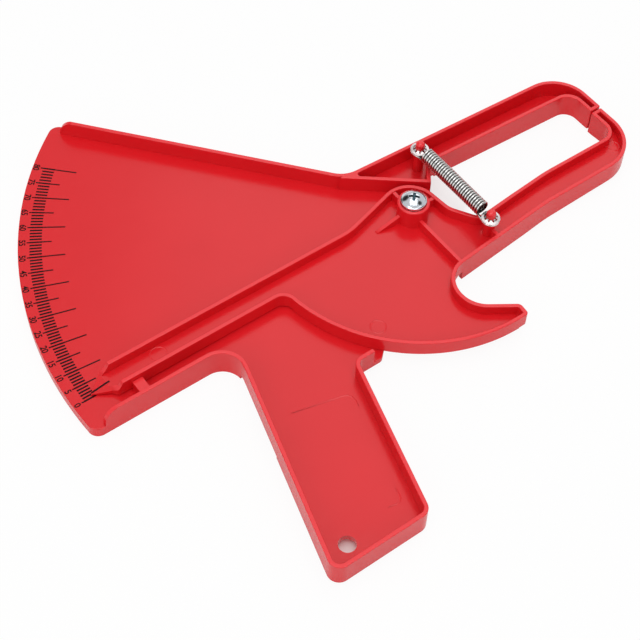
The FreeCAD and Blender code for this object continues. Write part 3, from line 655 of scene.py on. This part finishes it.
def mouldLine(name, path, floorTop, closed, body, p):  # a low ridge, faded out at an open path's ends
    half = p["width"] / 2
    crest = half * p["flat"]
    profile = [(-half, 0.0), (-crest, p["height"]), (crest, p["height"]), (half, 0.0)]
    count, k = len(path), len(profile)
    run = [path[-1], *path, path[0]] if closed else [path[0], *path, path[-1]]
    verts, faces = [], []
    for i, (before, (x, y), after) in enumerate(zip(run, run[1:], run[2:])):
        along = Vector((after[0] - before[0], after[1] - before[1])).normalized()
        fade = 0.0 if not closed and i in (0, count - 1) else 1.0
        for offset, height in profile:
            z = floorTop + height * fade
            verts.append(((x + along.y * offset) * mm, (y - along.x * offset) * mm, z * mm))
    for i in range(count if closed else count - 1):
        j = (i + 1) % count
        faces += [(i * k + m, i * k + m + 1, j * k + m + 1, j * k + m) for m in range(k - 1)]
    line = linkMesh(name, verts, faces, leverRed if body == "lever" else frameRed, smooth=True)
    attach(line, body)


for number, (x, y, radius) in enumerate(mouldMarks["pins"], start=1):
    turns = [2 * math.pi * i / mouldMarks["segments"] for i in range(mouldMarks["segments"])]
    circle = [(x + radius * math.cos(a), y + radius * math.sin(a)) for a in turns]
    mouldLine(f"ejectorRing{number}", circle, leverTop, True, "lever", mouldMarks)
for number, edge in enumerate(mouldMarks["insertEdges"], start=1):
    mouldLine(f"handleInsertEdge{number}", edge, plateTop, False, "frame", mouldMarks)
print("moulding marks added")


# floor, light and camera

# white paper, lit so that it shows nearly white to the camera and still holds a soft shadow
paperFloor = {
    "reach": 3.0,                         # m, half of its side
    "drop": 0.2,                          # mm under the tool
    "colour": "#f4f3f2", "unshadedShare": 0.93, "lit": 0.25,
    "fibre": 1.111, "fibreDepth": 0.02,   # mm
    "shaded": (   # ground seen through the tool: place, radii where the shade is full and ends, share left
        ((-115.0, -107.5), 7.0, 10.0, 0.03),
        ((21.0, 6.0), 11.0, 15.0, 0.72),
    ),
}


def paperMaterial(p):
    mat = newMaterial("paperFloor")
    tree = mat.node_tree
    coords = addNode(tree, "ShaderNodeTexCoord").outputs["Object"]
    fibre = addNode(tree, "ShaderNodeTexNoise", {"Vector": coords, "Scale": 1 / (p["fibre"] * mm)})
    bump = addNode(tree, "ShaderNodeBump", {
        "Height": fibre.outputs["Fac"], "Distance": p["fibreDepth"] * mm})
    paper = addNode(tree, "ShaderNodeBsdfDiffuse", {
        "Color": srgb(p["colour"]), "Normal": bump.outputs["Normal"]})
    glow = addNode(tree, "ShaderNodeEmission", {"Color": (1, 1, 1, 1), "Strength": 1.0})
    seenDirect = addNode(tree, "ShaderNodeLightPath").outputs["Is Camera Ray"]
    unshadedShare = p["unshadedShare"]
    for (x, y), inner, outer, left in p["shaded"]:
        apart = addNode(tree, "ShaderNodeVectorMath", {
            0: coords, 1: (x * mm, y * mm, 0.0)}, operation="DISTANCE")
        fade = addNode(tree, "ShaderNodeMapRange", {
            "Value": apart.outputs["Value"], "From Min": inner * mm, "From Max": outer * mm,
            "To Min": left, "To Max": 1.0})
        shade = addNode(tree, "ShaderNodeMath", {0: fade.outputs["Result"], 1: unshadedShare}, operation="MULTIPLY")
        unshadedShare = shade.outputs[0]
    share = addNode(tree, "ShaderNodeMapRange", {"Value": seenDirect, "To Min": p["lit"], "To Max": unshadedShare})
    mixed = addNode(tree, "ShaderNodeMixShader", {
        0: share.outputs[0], 1: paper.outputs[0], 2: glow.outputs[0]})
    addNode(tree, "ShaderNodeOutputMaterial", {"Surface": mixed.outputs[0]})
    return mat


reach = paperFloor["reach"]
corners = [(-reach, -reach, 0), (reach, -reach, 0), (reach, reach, 0), (-reach, reach, 0)]
floor = linkMesh("floor", corners, [(0, 1, 2, 3)], paperMaterial(paperFloor))
floor.location.z = -paperFloor["drop"] * mm

lamps = {   # places and sizes in m
    "overhead": {"at": (-0.05, -0.06, 1.0), "aim": (0.0, 0.0, 0.0), "size": (0.75, 0.7), "power": 3.45},
    "left": {"at": (-0.9, -0.3, 0.55), "aim": (-0.02, 0.0, 0.0), "size": (0.6, 0.7), "power": 1.8},
    "front": {"at": (0.2, -1.0, 0.6), "aim": (0.0, 0.0, 0.0), "size": (0.9, 0.6), "power": 0.7},
    "back": {"at": (0.65, 0.6, 0.95), "aim": (0.0, 0.0, 0.0), "size": (0.8, 1.0), "power": 1.6},
}
for name, p in lamps.items():
    data = bpy.data.lights.new(name, "AREA")
    data.shape = "RECTANGLE"
    data.size, data.size_y = p["size"]
    data.energy = p["power"]
    lamp = bpy.data.objects.new(name, data)
    lamp.location = p["at"]
    lamp.rotation_euler = (Vector(p["aim"]) - Vector(p["at"])).to_track_quat("-Z", "Y").to_euler()
    bpy.context.scene.collection.objects.link(lamp)

room = {
    "strength": 0.6, "gapLight": 0.03,
    "gaps": (   # direction, then the cosines where it starts and is full
        ((-0.156, 0.854, 0.494), 0.91, 0.96),
        ((0.48, -0.42, 0.77), 0.95, 0.985),
    ),
}


def studioRoom(tree, p):  # an even room with dark gaps between its screens
    toward = addNode(tree, "ShaderNodeTexCoord").outputs["Generated"]
    level = p["strength"]
    for direction, outer, inner in p["gaps"]:
        near = addNode(tree, "ShaderNodeVectorMath", {0: toward, 1: direction}, operation="DOT_PRODUCT")
        fade = addNode(tree, "ShaderNodeMapRange", {
            "Value": near.outputs["Value"], "From Min": outer, "From Max": inner,
            "To Min": 1.0, "To Max": p["gapLight"]})
        gap = addNode(tree, "ShaderNodeMath", {0: fade.outputs["Result"], 1: level}, operation="MULTIPLY")
        level = gap.outputs[0]
    return level


world = bpy.data.worlds.new("studio")
world.use_nodes = True
tree = world.node_tree
tree.nodes.clear()
roomGlow = addNode(tree, "ShaderNodeBackground", {"Color": (1, 1, 1, 1), "Strength": studioRoom(tree, room)})
backdrop = addNode(tree, "ShaderNodeBackground", {"Color": (1, 1, 1, 1), "Strength": 1.0})
seenDirect = addNode(tree, "ShaderNodeLightPath").outputs["Is Camera Ray"]
mixed = addNode(tree, "ShaderNodeMixShader", {0: seenDirect, 1: roomGlow.outputs[0], 2: backdrop.outputs[0]})
addNode(tree, "ShaderNodeOutputWorld", {"Surface": mixed.outputs[0]})
bpy.context.scene.world = world

shot = {
    "place": (-0.288176, -0.306087, 0.493229),
    "right": (0.80705, -0.589896, 0.0263264),
    "down": (-0.460974, -0.657278, -0.596229),
    "ahead": (0.369017, 0.469051, -0.802383),
    "lens": 84.375, "sensor": 36, "near": 0.01, "far": 20,
}
cameraData = bpy.data.cameras.new("camera")
cameraData.lens = shot["lens"]
cameraData.sensor_width = shot["sensor"]
cameraData.clip_start = shot["near"]
cameraData.clip_end = shot["far"]
camera = bpy.data.objects.new("camera", cameraData)
axes = Matrix((shot["right"], [-v for v in shot["down"]], [-v for v in shot["ahead"]])).transposed().to_4x4()
camera.matrix_world = Matrix.Translation(shot["place"]) @ axes
bpy.context.scene.collection.objects.link(camera)
bpy.context.scene.camera = camera
bpy.context.scene.view_settings.view_transform = "Standard"
print("stage set")
